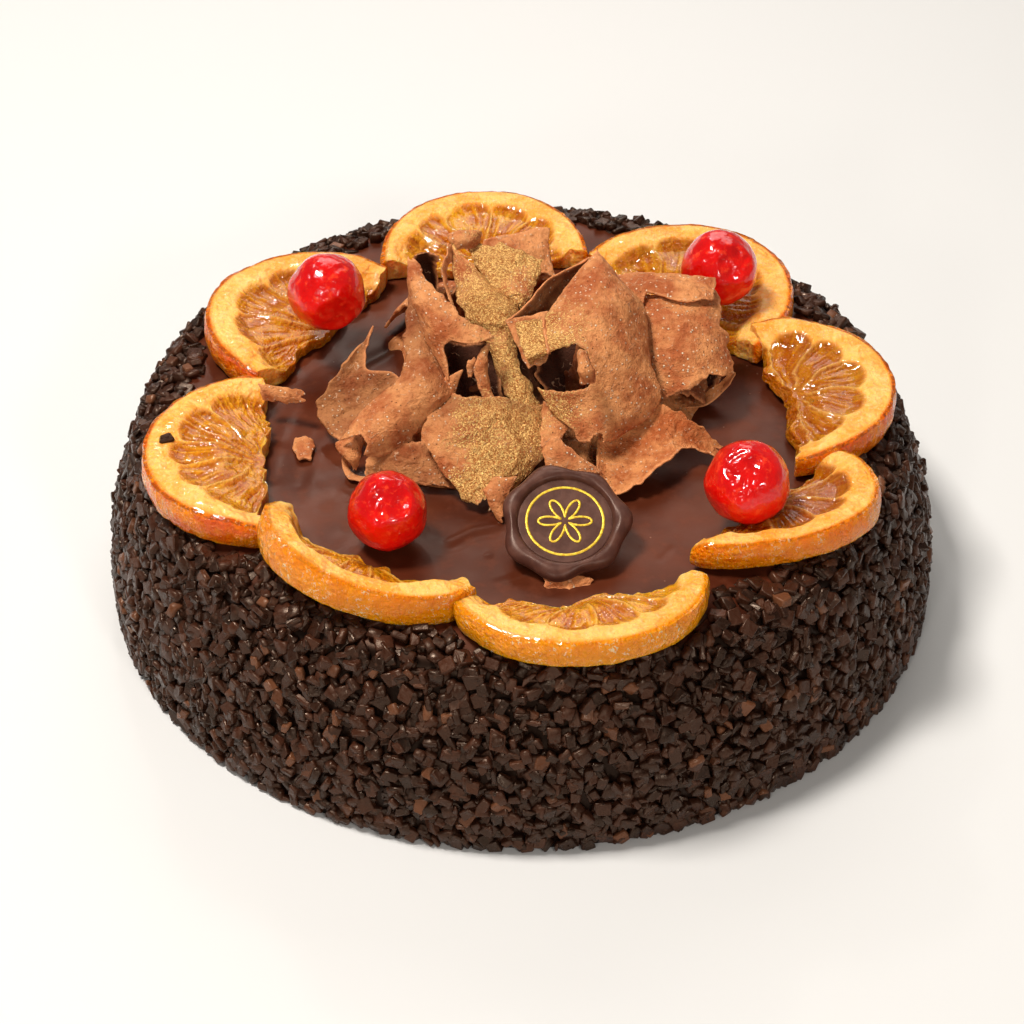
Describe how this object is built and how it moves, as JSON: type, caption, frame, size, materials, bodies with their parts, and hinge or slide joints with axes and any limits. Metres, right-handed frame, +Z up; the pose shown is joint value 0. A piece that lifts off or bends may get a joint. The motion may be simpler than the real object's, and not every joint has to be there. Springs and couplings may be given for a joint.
{
  "type": "chocolate cassata cake",
  "caption": "Round glazed chocolate cassata with a grain-coated side, candied orange half slices, candied cherries, chocolate shavings and a chocolate seal.",
  "frame": {"origin": "middle of the cake's flat foot", "axes": "+Z up, -Y towards the front, where the seal is, +X to the right as seen from the front"},
  "size_m": [0.2213, 0.2204, 0.0894],
  "materials": {
    "cake": "satin dark chocolate glaze and a coat of dark chocolate grains",
    "orange": "wet candied orange with brown edges",
    "cherry": "glossy translucent red candied cherry",
    "shaving": "matt milk chocolate, partly dusted with gold",
    "seal": "satin dark chocolate with a thin gold ring"
  },
  "bodies": {
    "root": {"cake": "cake", "cherry_1": "cherry", "cherry_2": "cherry", "cherry_3": "cherry", "cherry_4": "cherry", "chocolate_seal": "seal", "orange_slice_1": "orange", "orange_slice_2": "orange", "orange_slice_3": "orange", "orange_slice_4": "orange", "orange_slice_5": "orange", "orange_slice_6": "orange", "orange_slice_7": "orange", "orange_slice_8": "orange", "shaving_apron": "shaving", "shaving_back_top": "shaving", "shaving_band": "shaving", "shaving_centre": "shaving", "shaving_cone_left": "shaving", "shaving_cone_right": "shaving", "shaving_flap": "shaving", "shaving_front_low": "shaving", "shaving_gold_leaf": "shaving", "shaving_gold_square": "shaving", "shaving_left_leaf": "shaving", "shaving_left_low": "shaving", "shaving_lower_lip": "shaving", "shaving_pillow": "shaving", "shaving_pillow_fold": "shaving", "shaving_rear_left": "shaving", "shaving_rear_middle": "shaving", "shaving_rear_right": "shaving", "shaving_right_sheet": "shaving", "shaving_sliver": "shaving", "shaving_torn_strip": "shaving", "shaving_under_left": "shaving", "shaving_under_middle": "shaving", "shaving_under_right": "shaving"}
  },
  "joints": []
}
